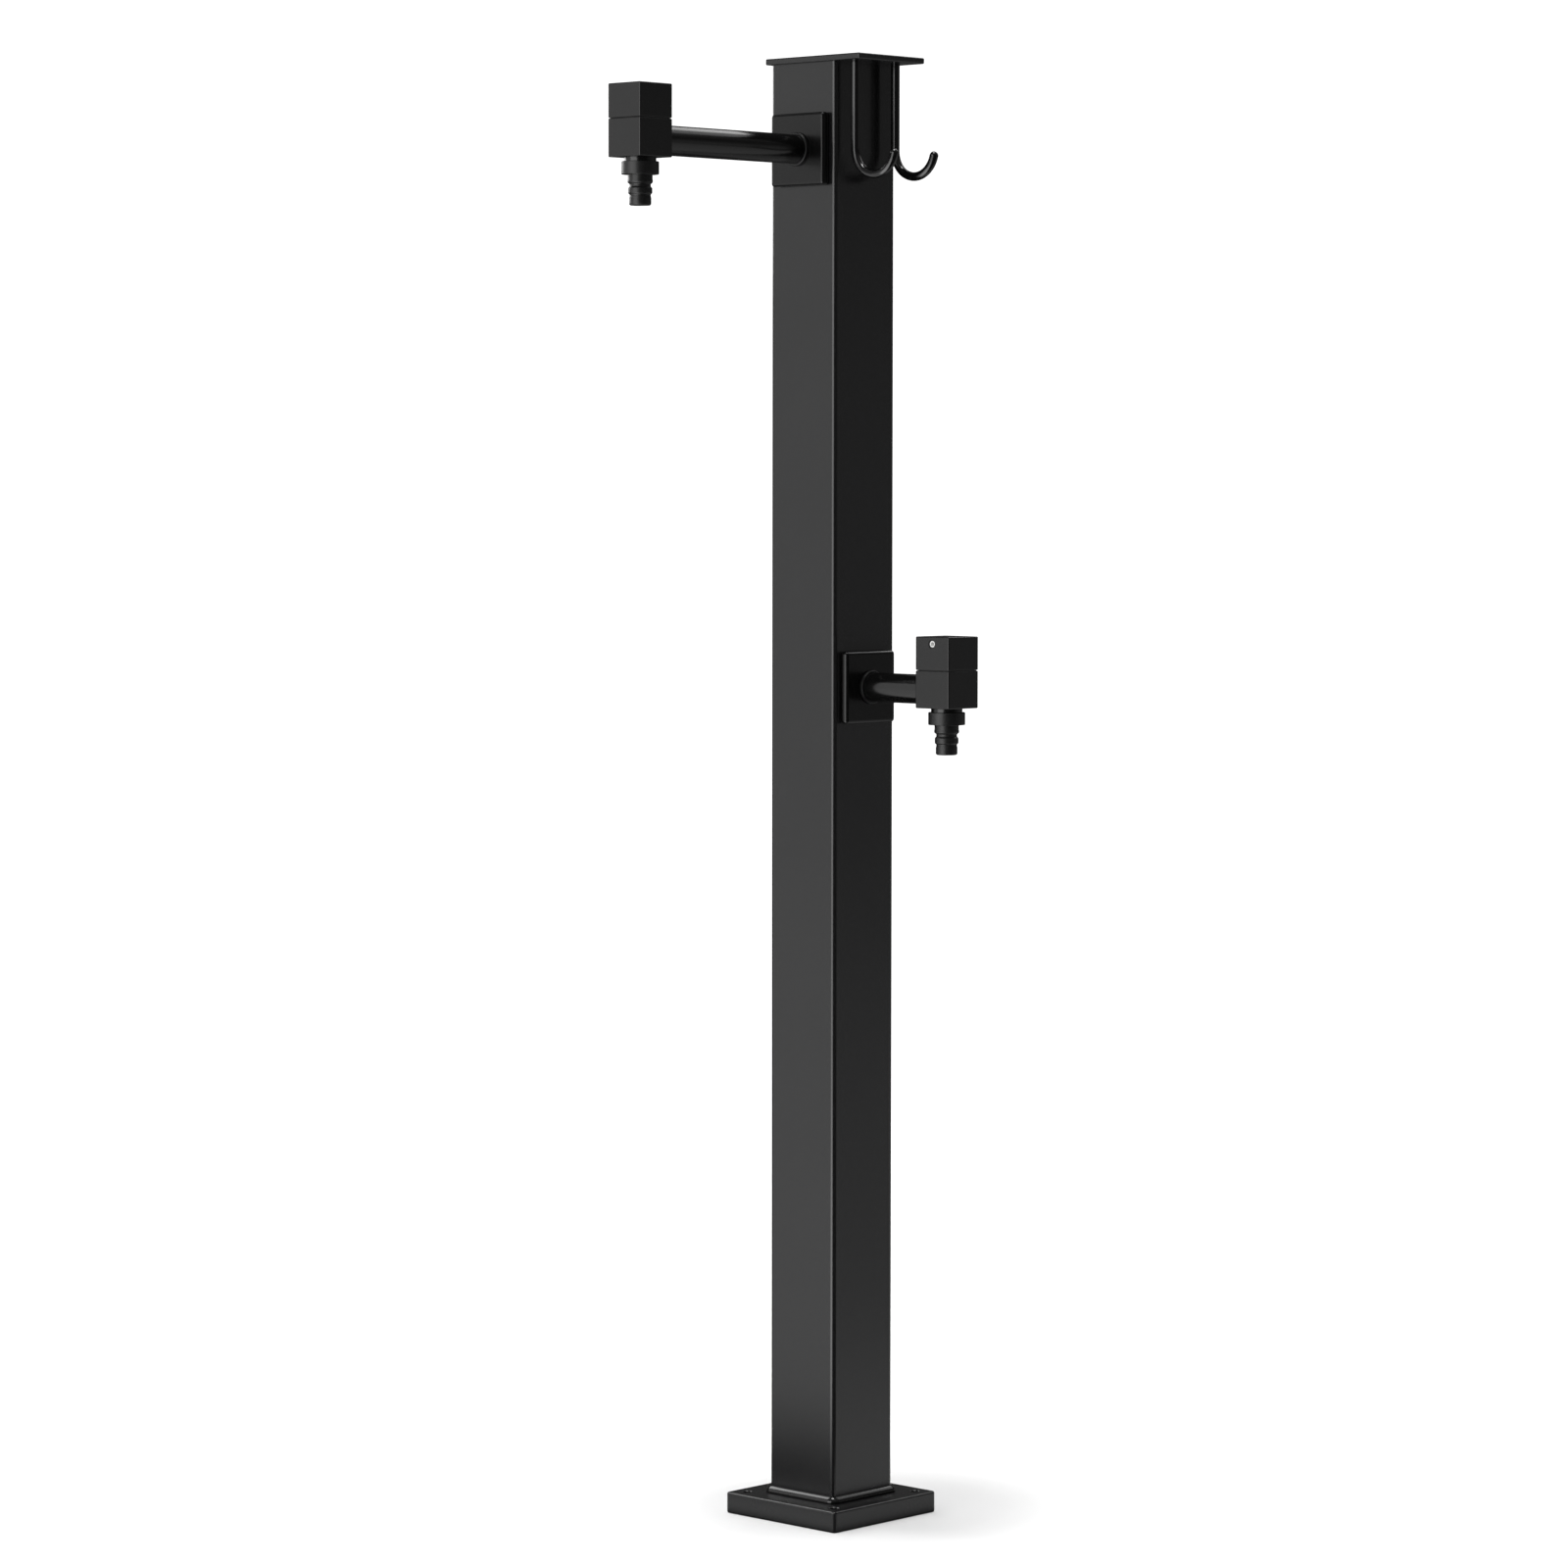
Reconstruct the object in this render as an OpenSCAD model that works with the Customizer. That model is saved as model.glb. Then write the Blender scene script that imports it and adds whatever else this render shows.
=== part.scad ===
// Garden standpipe: a square column on a foot plate, with a long tap on the
// front, a short tap on the right-hand side and two hose hooks under the cap.
// Millimetres. The origin is the middle of the foot's underside, +Z is up,
// -Y is the front with the long tap and +X the side with the short tap.

/* [Column] */
// Width of the square tube over its flats
column_w = 60; // [54:1:80]
// Thickness of the tube's wall
column_wall = 2; // [1.5:0.1:3]
// Length of the tube
column_len = 981.2; // [900:0.1:1300]
// Rounding of the tube's long edges
column_edge_r = 3; // [1:0.1:4]

/* [Foot] */
// How far the foot plate stands out beyond the tube
foot_lip = 21.6; // [20:0.1:40]
// Thickness of the foot plate
foot_t = 14.6; // [13:0.1:20]
// Rounding of the plate's edges
foot_edge_r = 1.4; // [0.8:0.1:2]
// Rounding of the plate's corners
foot_corner_r = 3; // [2:0.1:6]
// Distance of the anchor holes from the plate's edges
anchor_inset = 10.6; // [8:0.1:11]
// Diameter of the anchor holes
anchor_d = 7; // [5:0.5:9]
// Diameter of the opening in the plate for the water inlet
foot_opening_d = 38; // [34:0.5:40]
// How far the sealing bead round the tube's foot stands out
bead_out = 3.4; // [2:0.1:5]
// Height of the sealing bead
bead_h = 4.5; // [3:0.1:8]

/* [Foot block] */
// Height of the block that holds the tube
block_h = 30; // [25:0.5:45]
// Distance of the block's screws from its sides
block_screw_inset = 7.35; // [7:0.05:8]
// Diameter of the block's screws
block_screw_d = 6; // [5:0.5:6]
// Length of the block's screws inside the block
block_screw_bite = 16; // [12:0.5:20]

/* [Cap] */
// Thickness of the cap plate
cap_t = 4.2; // [4:0.1:8]
// How far the cap plate stands out on three sides
cap_lip = 2.8; // [2:0.1:8]
// How far the cap plate stands out over the hooks
cap_reach = 24.4; // [22:0.1:40]
// Rounding of the cap plate's edges
cap_edge_r = 1; // [0.6:0.1:1.5]
// Height of the insert that locates the cap in the tube
insert_h = 24; // [20:0.5:26]

/* [Hose hooks] */
// Diameter of the hook rod
hook_d = 6; // [5:0.1:8]
// Distance of the rod's axis from the tube's face
hook_offset = 9.2; // [9:0.1:14]
// Distance between the two hooks
hook_pitch = 39.8; // [30:0.1:50]
// Bend radius of the hook at the rod's axis
hook_bend_r = 18; // [12:0.1:30]
// Straight length of the rod below the cap plate
hook_drop = 58.7; // [40:0.1:100]
// Angle through which the rod is bent
hook_sweep = 165; // [120:1:180]

/* [Taps] */
// Distance of the front tap's arm below the tube's top
front_drop = 58.5; // [56:0.1:200]
// Distance of the side tap's arm below the front tap's arm
side_drop = 364.6; // [150:0.1:700]
// Distance of the front tap's axis from the tube's face
front_reach = 155.7; // [80:0.1:220]
// Distance of the side tap's axis from the tube's face
side_reach = 75.3; // [50:0.1:140]
// Diameter of the arms
arm_d = 20; // [19:0.1:21]
// Wall of the arms
arm_wall = 3; // [2:0.1:4]
// Width of the square cover on the tube
cover_w = 49; // [44:0.1:54]
// Thickness of the square cover
cover_t = 6.4; // [5:0.1:10]
// Rounding of the cover's edges
cover_edge_r = 2; // [0.8:0.1:2.5]
// Width of the tap's square body and handle
tap_w = 30; // [30:0.1:36]
// Height of the tap's body
tap_h = 25.3; // [24:0.1:32]
// Height of the tap's handle
knob_h = 22.6; // [22:0.1:30]
// Rounding of the tap's edges
tap_edge_r = 0.8; // [0.5:0.1:1.2]
// Distance of the handle's screw from the handle's top
screw_drop = 4.9; // [4.5:0.1:6]

/* [Outlet] */
// Diameter of the outlet adapter's collar
collar_d = 24.9; // [24:0.1:30]
// Height of the outlet adapter's collar
collar_h = 8.5; // [8.5:0.1:12]
// Length of the hose nipple below the collar
nipple_len = 20.3; // [18:0.1:30]
// Diameter of the nipple's root
nipple_d = 16.4; // [15:0.1:18]

/* [Water way] */
// Diameter of the riser pipe
riser_d = 15; // [12:0.5:16]
// Wall of the riser pipe
riser_wall = 1; // [0.7:0.1:1.5]
// Radius of the inlet's female thread at its crests
inlet_r = 9.3; // [8:0.1:10]
// Depth of the inlet's female thread
inlet_depth = 16; // [12:0.5:20]

/* [Hidden] */
$fn = 64;
// Radial gap of a turned piece in its bore
fit_gap = 0.05;
// Gap of a loose square piece beside its neighbour
slip_gap = 0.15;
// Gap under the handle, and between pieces that must not rub
joint_gap = 0.4;
// How far a cut runs past the face that it opens
overrun = 1;
black = [0.09, 0.09, 0.10];
rubber_black = [0.05, 0.05, 0.05];
brass_tone = [0.80, 0.62, 0.30];
copper_tone = [0.78, 0.45, 0.30];
steel_tone = [0.72, 0.73, 0.75];
ceramic_tone = [0.90, 0.88, 0.84];

// Foot and column
column_half = column_w / 2;
inside_half = column_half - column_wall;
column_top = foot_t + column_len;
front_z = column_top - front_drop;
side_z = front_z - side_drop;
foot_w = column_w + 2 * foot_lip;
anchor_at = foot_w / 2 - anchor_inset;
block_half = inside_half - slip_gap;
block_top = foot_t + block_h;
block_screw_at = block_half - block_screw_inset;
block_head_d = 10;
block_head_h = 6;
block_head_sink = 0.6;
bead_round_share = 0.85;

// Button head screws through the back of the tube
back_screw_d = 5;
back_head_d = 9.5;
back_head_h = 2.6;
back_hex_af = 3;
back_hex_depth = 1.6;
back_screw_pitch = 30;
back_screw_bite = 5;
foot_screw_z = foot_t + block_h / 2;

// Insert under the cap plate, an upturned tray
insert_wall = 6;
insert_web = 6;
insert_screw_d = 4;
insert_screw_at = 14;
insert_screw_bite = 2.8;
insert_head_d = 7;
insert_head_h = 2.6;
cap_screw_z = column_top - (insert_h + insert_web) / 2;

// Hooks
hook_x = column_half + hook_offset;
hook_seat = 2.6;
tip_swell = 0.05;

// Arm and what holds it to the tube, along the arm from the column's axis
arm_r = arm_d / 2;
arm_start = 8;
arm_bite = 5;
washer_t = 1.5;
washer_r = 14;
locknut_t = 5;
locknut_af = 26;
gasket_t = 1;
gasket_inset = 3;
ring_t = 2.3;
ring_wall = 1.4;
washer_x = inside_half - washer_t;
locknut_x = washer_x - locknut_t;

// Tap body, with heights counted from the arm's axis
arm_below_middle = 0.5;
tap_half = tap_w / 2;
body_bottom = arm_below_middle - tap_h / 2;
body_top = body_bottom + tap_h;
knob_bottom = body_top + joint_gap;
knob_top = knob_bottom + knob_h;
neck_r = 10.6;
neck_len = 2.7;
spout_r = 10.4;
spout_len = 5.6;
spout_bore_r = 5;
inlet_bore_r = 5;

// Ceramic headwork
barrel_r = 9;
barrel_wall = 1.5;
seat_z = -5;
seal_t = 1.6;
disc_t = 1.8;
disc_gap = 0.05;
disc_edge_gap = 0.15;
port_r = 2.2;
port_at = 3.7;
lug_r = 1;
lug_at = 5;
lug_len = 1.2;
cavity_top = 7;
window_r = 2.9;
hex_af = 20;
hex_t = 4;
headwork_neck_r = 6.5;
headwork_stand = 7.5;
headwork_top = body_top + headwork_stand;
shaft_r = 4;
shaft_foot_t = 2.4;
shaft_foot_w = 5;
shaft_stop_r = 5.5;
shaft_stop_t = 2;
oring_d = 1.6;
oring_sink = 3;
oring_z = body_top - oring_sink;
cavity_r = barrel_r - barrel_wall;
fixed_disc_z = seat_z + seal_t;
moving_disc_z = fixed_disc_z + disc_t + disc_gap;
shaft_foot_z = moving_disc_z + disc_t + disc_gap;
window_z = shaft_foot_z + window_r;

// Handle
knob_cavity_r = 12.3;
knob_cavity_top = headwork_top + 3 * joint_gap;
shaft_cover = 2.8;
shaft_top = knob_top - shaft_cover;
grub_r = 2.45;
grub_sink = 0.3;
grub_hex_af = 2.5;
grub_hex_depth = 2.5;
grub_ring_r = 3.1;
grub_ring_depth = 0.5;
grub_z = knob_top - screw_drop;

// Outlet adapter, with depths counted down from the collar's underside
collar_top = body_bottom - neck_len;
collar_bottom = collar_top - collar_h;
collar_r = collar_d / 2;
collar_floor = 1.4;
collar_chamfer = 0.6;
outlet_washer_t = 1.5;
nipple_r = nipple_d / 2;
nipple_bore_r = 4.5;
bump_out = 0.2;
bump_start = 3.9;
bump_end = 5.2;
groove_r = 7;
groove_start = 6.3;
groove_end = 8;
ring_r = 8;
ring_start = 8.8;
ring_end = 12.3;
second_start = 13.1;
second_end = 14.3;
tip_r = 7.3;
tip_start = 14.9;
tip_chamfer = 0.8;

// Pipes and fittings in the column
inlet_mouth_z = 2;
coupling_r = 14.5;
coupling_neck_r = 11.9;
inlet_nut_t = 6;
inlet_nut_af = 30;
coupling_end = 2;
coupling_top = block_top + inlet_nut_t + coupling_end;
riser_r = riser_d / 2;
riser_socket = 12;
riser_bore_r = riser_r - riser_wall;
socket_wall = 2.5;
fitting_half = 22;
branch_wall = 3;
branch_end = locknut_x - joint_gap;
branch_r = arm_r + branch_wall;
branch_back = 10;

// Shared shapes

// Square outline with round corners, centred
module round_rect(x, y, r) {
    square([x - 2 * r, y], center = true);
    square([x, y - 2 * r], center = true);
    for (sx = [-1, 1], sy = [-1, 1])
        translate([sx * (x / 2 - r), sy * (y / 2 - r)])
            circle(r);
}

// Block with all its edges rounded, centred; its upright edges may have a radius of their own
module soft_block(x, y, z, r, upright_r = 0) {
    intersection() {
        linear_extrude(z, center = true)
            round_rect(x, y, max(r, upright_r));
        rotate([90, 0, 0])
            linear_extrude(y, center = true)
                round_rect(x, z, r);
        rotate([90, 0, 90])
            linear_extrude(x, center = true)
                round_rect(y, z, r);
    }
}

// Rod along +X from x0 to x1
module rod_x(x0, x1, r) {
    translate([x0, 0, 0])
        rotate([0, 90, 0])
            cylinder(h = x1 - x0, r = r);
}

// Rod along +Z from z0 to z1
module rod_z(z0, z1, r) {
    translate([0, 0, z0])
        cylinder(h = z1 - z0, r = r);
}

// Hexagon along +Z from z0 to z1, measured across its flats
module hex_z(z0, z1, across) {
    translate([0, 0, z0])
        cylinder(h = z1 - z0, d = across / cos(30), $fn = 6);
}

// One copy at each corner of a square
module at_corners(offset) {
    for (sx = [-1, 1], sy = [-1, 1])
        translate([sx * offset, sy * offset, 0])
            children();
}

// One copy at each screw place on the tube's back face, pointing out
module at_back(z) {
    for (side = [-1, 1])
        translate([side * back_screw_pitch / 2, column_half, z])
            rotate([-90, 0, 0])
                children();
}

// The front tap is built like the side tap and turned to face the front
module at_front() {
    translate([0, 0, front_z])
        rotate([0, 0, -90])
            children();
}

module at_side() {
    translate([0, 0, side_z])
        children();
}

// Foot

module base_plate() {
    color(black)
        difference() {
            translate([0, 0, foot_t / 2])
                soft_block(foot_w, foot_w, foot_t, foot_edge_r, foot_corner_r);
            rod_z(-overrun, foot_t + overrun, foot_opening_d / 2);
            at_corners(anchor_at)
                rod_z(-overrun, foot_t + overrun, anchor_d / 2);
            at_corners(block_screw_at) {
                rod_z(-overrun, foot_t + overrun, block_screw_d / 2 + slip_gap);
                rod_z(-overrun, block_head_sink + block_head_h, block_head_d / 2 + slip_gap);
            }
        }
}

module foot_bead() {
    bead_w = column_w + 2 * bead_out;
    round_r = bead_round_share * min(bead_out, bead_h);
    color(black)
        difference() {
            translate([0, 0, foot_t])
                intersection() {
                    soft_block(bead_w, bead_w, 2 * bead_h, round_r, column_edge_r + bead_out);
                    translate([0, 0, bead_h / 2])
                        cube([bead_w, bead_w, bead_h], center = true);
                }
            translate([0, 0, foot_t - overrun])
                linear_extrude(bead_h + 2 * overrun)
                    round_rect(column_w + 2 * fit_gap, column_w + 2 * fit_gap, column_edge_r);
        }
}

module foot_block() {
    color(steel_tone)
        difference() {
            translate([0, 0, foot_t + block_h / 2])
                cube([2 * block_half, 2 * block_half, block_h], center = true);
            rod_z(foot_t - overrun, block_top + overrun, coupling_neck_r + fit_gap);
            at_corners(block_screw_at)
                rod_z(foot_t - overrun, foot_t + block_screw_bite + joint_gap, block_screw_d / 2 + fit_gap);
            at_back(foot_screw_z)
                rod_z(-column_wall - back_screw_bite - joint_gap, 0, back_screw_d / 2 + fit_gap);
        }
}

module foot_block_screws() {
    head_top = block_head_sink + block_head_h - fit_gap;
    color(steel_tone)
        at_corners(block_screw_at)
            difference() {
                union() {
                    rod_z(block_head_sink, head_top, block_head_d / 2);
                    rod_z(block_head_sink, foot_t + block_screw_bite, block_screw_d / 2);
                }
                hex_z(block_head_sink - overrun, block_head_sink + block_head_h / 2, block_head_d / 2);
            }
}

// Column

module column() {
    color(black)
        difference() {
            translate([0, 0, foot_t])
                linear_extrude(column_len)
                    difference() {
                        round_rect(column_w, column_w, column_edge_r);
                        square(2 * inside_half, center = true);
                    }
            at_front()
                rod_x(inside_half - overrun, column_half + overrun, arm_r + slip_gap);
            at_side()
                rod_x(inside_half - overrun, column_half + overrun, arm_r + slip_gap);
            for (z = [foot_screw_z, cap_screw_z])
                at_back(z)
                    rod_z(-column_wall - overrun, overrun, back_screw_d / 2 + slip_gap);
        }
}

module back_screw() {
    difference() {
        union() {
            rotate_extrude()
                intersection() {
                    dome_r = (pow(back_head_d / 2, 2) + pow(back_head_h, 2)) / (2 * back_head_h);
                    translate([0, back_head_h - dome_r])
                        circle(dome_r);
                    square([back_head_d / 2, back_head_h]);
                }
            rod_z(-column_wall - back_screw_bite, back_head_h / 2, back_screw_d / 2);
        }
        hex_z(back_head_h - back_hex_depth, back_head_h + overrun, back_hex_af);
    }
}

module column_foot_screws() {
    color(black)
        at_back(foot_screw_z)
            back_screw();
}

module cap_side_screws() {
    color(black)
        at_back(cap_screw_z)
            back_screw();
}

// Cap and hooks

module cap_plate() {
    cap_x = column_w + cap_lip + cap_reach;
    cap_y = column_w + 2 * cap_lip;
    color(black)
        difference() {
            translate([(cap_reach - cap_lip) / 2, 0, column_top + cap_t / 2])
                soft_block(cap_x, cap_y, cap_t, cap_edge_r);
            for (side = [-1, 1])
                translate([hook_x, side * hook_pitch / 2, 0])
                    rod_z(column_top - overrun, column_top + hook_seat, hook_d / 2 + fit_gap);
            at_corners(insert_screw_at)
                rod_z(column_top - overrun, column_top + insert_screw_bite, insert_screw_d / 2 + fit_gap);
        }
}

module cap_insert() {
    color(steel_tone)
        difference() {
            translate([0, 0, column_top - insert_h / 2])
                cube([2 * block_half, 2 * block_half, insert_h], center = true);
            translate([0, 0, column_top - insert_web - insert_h / 2])
                cube([2 * (block_half - insert_wall), 2 * (block_half - insert_wall), insert_h], center = true);
            at_corners(insert_screw_at)
                rod_z(column_top - insert_web - overrun, column_top + overrun, insert_screw_d / 2 + slip_gap);
            at_back(cap_screw_z)
                rod_z(-column_wall - back_screw_bite - joint_gap, 0, back_screw_d / 2 + fit_gap);
        }
}

module cap_insert_screws() {
    head_top = column_top - insert_web;
    color(steel_tone)
        at_corners(insert_screw_at)
            difference() {
                union() {
                    rod_z(head_top - insert_head_h, head_top, insert_head_d / 2);
                    rod_z(head_top - insert_head_h, column_top + insert_screw_bite - slip_gap, insert_screw_d / 2);
                }
                hex_z(head_top - insert_head_h - overrun, head_top - insert_head_h / 2, insert_head_d / 2);
            }
}

module hose_hook(side) {
    color(black)
        translate([hook_x, side * hook_pitch / 2, column_top]) {
            rod_z(-hook_drop, hook_seat - fit_gap, hook_d / 2);
            translate([hook_bend_r, 0, -hook_drop])
                rotate([90, 0, 0]) {
                    rotate([0, 0, 180])
                        rotate_extrude(angle = hook_sweep)
                            translate([hook_bend_r, 0])
                                circle(hook_d / 2);
                    rotate([0, 0, 180 + hook_sweep])
                        translate([hook_bend_r, 0, 0])
                            sphere(hook_d / 2 + tip_swell);
                }
        }
}

// Water way in the column

module inlet_coupling() {
    color(brass_tone)
        difference() {
            union() {
                rod_z(inlet_mouth_z, foot_t, coupling_r);
                rod_z(inlet_mouth_z, coupling_top, coupling_neck_r);
            }
            rod_z(inlet_mouth_z - overrun, inlet_mouth_z + inlet_depth, inlet_r);
            rod_z(inlet_mouth_z, coupling_top, riser_bore_r);
            rod_z(coupling_top - riser_socket, coupling_top + overrun, riser_r + fit_gap);
        }
}

module inlet_nut() {
    color(brass_tone)
        difference() {
            hex_z(block_top, block_top + inlet_nut_t, inlet_nut_af);
            rod_z(block_top - overrun, block_top + inlet_nut_t + overrun, coupling_neck_r + fit_gap);
        }
}

module riser(z0, z1) {
    color(copper_tone)
        difference() {
            rod_z(z0 + fit_gap, z1 - fit_gap, riser_r);
            rod_z(z0 - overrun, z1 + overrun, riser_bore_r);
        }
}

module lower_riser() {
    riser(coupling_top - riser_socket, side_z - fitting_half + riser_socket);
}

module upper_riser() {
    riser(side_z + fitting_half - riser_socket, front_z - fitting_half + riser_socket);
}

// Fitting with a branch along +X for an arm, and an upper socket if it is a tee
module branch_fitting(tee) {
    top = tee ? fitting_half : branch_r;
    color(brass_tone)
        difference() {
            union() {
                rod_z(-fitting_half, top, riser_r + socket_wall);
                rod_x(-branch_back, branch_end, branch_r);
            }
            rod_z(-fitting_half - overrun, tee ? top + overrun : 0, riser_bore_r);
            rod_z(-fitting_half - overrun, -fitting_half + riser_socket, riser_r + fit_gap);
            if (tee)
                rod_z(fitting_half - riser_socket, fitting_half + overrun, riser_r + fit_gap);
            rod_x(0, branch_end, riser_bore_r);
            rod_x(arm_start, branch_end + overrun, arm_r + fit_gap);
        }
}

module side_tee() {
    at_side()
        branch_fitting(true);
}

module front_elbow() {
    at_front()
        branch_fitting(false);
}

// Arm and what holds it to the column

module arm(reach) {
    arm_end = column_half + reach - tap_half + arm_bite;
    color(black)
        difference() {
            rod_x(arm_start + fit_gap, arm_end - fit_gap, arm_r);
            rod_x(arm_start - overrun, arm_end + overrun, arm_r - arm_wall);
        }
}

module arm_washer() {
    color(steel_tone)
        difference() {
            rod_x(washer_x, inside_half, washer_r);
            rod_x(washer_x - overrun, inside_half + overrun, arm_r + fit_gap);
        }
}

module arm_locknut() {
    color(brass_tone)
        difference() {
            rotate([0, 90, 0])
                hex_z(locknut_x, washer_x, locknut_af);
            rod_x(locknut_x - overrun, washer_x + overrun, arm_r + fit_gap);
        }
}

module cover_gasket() {
    gasket_w = cover_w - 2 * gasket_inset;
    color(rubber_black)
        difference() {
            translate([column_half + gasket_t / 2, 0, 0])
                cube([gasket_t, gasket_w, gasket_w], center = true);
            rod_x(column_half - overrun, column_half + gasket_t + overrun, arm_r + slip_gap);
        }
}

module arm_cover() {
    recess_w = cover_w - 2 * gasket_inset + 2 * slip_gap;
    color(black)
        difference() {
            translate([column_half + cover_t / 2, 0, 0])
                soft_block(cover_t, cover_w, cover_w, cover_edge_r);
            translate([column_half, 0, 0])
                cube([2 * gasket_t, recess_w, recess_w], center = true);
            rod_x(column_half - overrun, column_half + cover_t + overrun, arm_r + slip_gap);
        }
}

module arm_ring() {
    ring_x = column_half + cover_t;
    color(black)
        difference() {
            rod_x(ring_x, ring_x + ring_t, arm_r + ring_wall);
            rod_x(ring_x - overrun, ring_x + ring_t + overrun, arm_r + fit_gap);
        }
}

// Tap

module tap_body(reach) {
    color(black)
        translate([column_half + reach, 0, 0])
            difference() {
                union() {
                    translate([0, 0, (body_top + body_bottom) / 2])
                        soft_block(tap_w, tap_w, tap_h, tap_edge_r);
                    rod_z(collar_top, body_bottom + overrun, neck_r);
                    rod_z(collar_top - spout_len, body_bottom + overrun, spout_r);
                }
                rod_z(seat_z, body_top + overrun, barrel_r + fit_gap);
                rod_z(collar_top - spout_len - overrun, seat_z + overrun, spout_bore_r);
                rod_x(-tap_half - overrun, arm_bite - tap_half, arm_r + fit_gap);
                rod_x(-tap_half, -barrel_r + overrun, inlet_bore_r);
            }
}

module headwork(reach) {
    color(brass_tone)
        translate([column_half + reach, 0, 0])
            difference() {
                union() {
                    rod_z(seat_z + fit_gap, body_top, barrel_r);
                    hex_z(body_top, body_top + hex_t, hex_af);
                    rod_z(body_top, headwork_top, headwork_neck_r);
                }
                rod_z(seat_z - overrun, cavity_top, cavity_r);
                rod_z(seat_z, headwork_top + overrun, shaft_r + fit_gap);
                rod_z(oring_z, oring_z + oring_d, shaft_r + oring_d + fit_gap);
                translate([0, 0, window_z])
                    rod_x(-barrel_r - overrun, barrel_r + overrun, window_r);
            }
}

module seat_seal(reach) {
    color(rubber_black)
        translate([column_half + reach, 0, 0])
            difference() {
                rod_z(seat_z, fixed_disc_z, cavity_r - disc_edge_gap);
                rod_z(seat_z - overrun, fixed_disc_z + overrun, spout_bore_r + fit_gap);
            }
}

// Ceramic disc with two ports in line along the given angle
module ported_disc(reach, z, angle) {
    color(ceramic_tone)
        translate([column_half + reach, 0, 0])
            rotate([0, 0, angle])
                difference() {
                    rod_z(z, z + disc_t, cavity_r - disc_edge_gap);
                    for (side = [-1, 1])
                        translate([side * port_at, 0, 0])
                            rod_z(z - overrun, z + disc_t + overrun, port_r);
                    for (side = [-1, 1])
                        translate([0, side * lug_at, 0])
                            rod_z(z - overrun, z + disc_t + overrun, lug_r + slip_gap);
                }
}

module spindle(reach) {
    stop_top = cavity_top - joint_gap;
    color(brass_tone)
        translate([column_half + reach, 0, 0]) {
            intersection() {
                rod_z(shaft_foot_z, shaft_foot_z + shaft_foot_t, cavity_r - joint_gap);
                translate([0, 0, shaft_foot_z])
                    cube([shaft_foot_w, 4 * barrel_r, 4 * shaft_foot_t], center = true);
            }
            for (side = [-1, 1])
                translate([0, side * lug_at, 0])
                    rod_z(shaft_foot_z - lug_len, shaft_foot_z + shaft_foot_t / 2, lug_r);
            rod_z(shaft_foot_z + shaft_foot_t / 2, shaft_top, shaft_r);
            rod_z(stop_top - shaft_stop_t, stop_top, shaft_stop_r);
        }
}

module spindle_seal(reach) {
    color(rubber_black)
        translate([column_half + reach, 0, 0])
            difference() {
                rod_z(oring_z + fit_gap, oring_z + oring_d - fit_gap, shaft_r + oring_d);
                rod_z(oring_z - overrun, oring_z + oring_d + overrun, shaft_r + fit_gap);
            }
}

module tap_knob(reach) {
    color(black)
        translate([column_half + reach, 0, 0])
            difference() {
                translate([0, 0, (knob_bottom + knob_top) / 2])
                    soft_block(tap_w, tap_w, knob_h, tap_edge_r);
                rod_z(knob_bottom - overrun, knob_cavity_top, knob_cavity_r);
                rod_z(knob_bottom, shaft_top + fit_gap, shaft_r + fit_gap);
                translate([0, 0, grub_z])
                    rotate([90, 0, 0]) {
                        rod_z(0, tap_half + overrun, grub_r + fit_gap);
                        rod_z(tap_half - grub_ring_depth, tap_half + overrun, grub_ring_r);
                    }
            }
}

module knob_screw(reach) {
    outer = tap_half - grub_sink;
    color(steel_tone)
        translate([column_half + reach, 0, grub_z])
            rotate([90, 0, 0])
                difference() {
                    rod_z(shaft_r + fit_gap, outer, grub_r);
                    hex_z(outer - grub_hex_depth, outer + overrun, grub_hex_af);
                }
}

// Collar and hose nipple, turned in one piece
module outlet_adapter(reach) {
    profile = [
        [nipple_bore_r, collar_bottom - nipple_len],
        [tip_r - tip_chamfer, collar_bottom - nipple_len],
        [tip_r, collar_bottom - nipple_len + tip_chamfer],
        [tip_r, collar_bottom - tip_start],
        [groove_r, collar_bottom - second_end],
        [groove_r, collar_bottom - second_start],
        [ring_r, collar_bottom - ring_end],
        [ring_r, collar_bottom - ring_start],
        [groove_r, collar_bottom - groove_end],
        [groove_r, collar_bottom - groove_start],
        [nipple_r + bump_out, collar_bottom - bump_end],
        [nipple_r + bump_out, collar_bottom - bump_start],
        [nipple_r, collar_bottom - bump_start + bump_out],
        [nipple_r, collar_bottom],
        [collar_r - collar_chamfer, collar_bottom],
        [collar_r, collar_bottom + collar_chamfer],
        [collar_r, collar_top - collar_chamfer],
        [collar_r - collar_chamfer, collar_top],
        [spout_r + fit_gap, collar_top],
        [spout_r + fit_gap, collar_bottom + collar_floor],
        [nipple_bore_r, collar_bottom + collar_floor]
    ];
    color(black)
        translate([column_half + reach, 0, 0])
            rotate_extrude()
                polygon(profile);
}

module outlet_washer(reach) {
    floor_z = collar_bottom + collar_floor;
    color(rubber_black)
        translate([column_half + reach, 0, 0])
            difference() {
                rod_z(floor_z, floor_z + outlet_washer_t, spout_r - slip_gap);
                rod_z(floor_z - overrun, floor_z + outlet_washer_t + overrun, spout_bore_r);
            }
}

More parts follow.
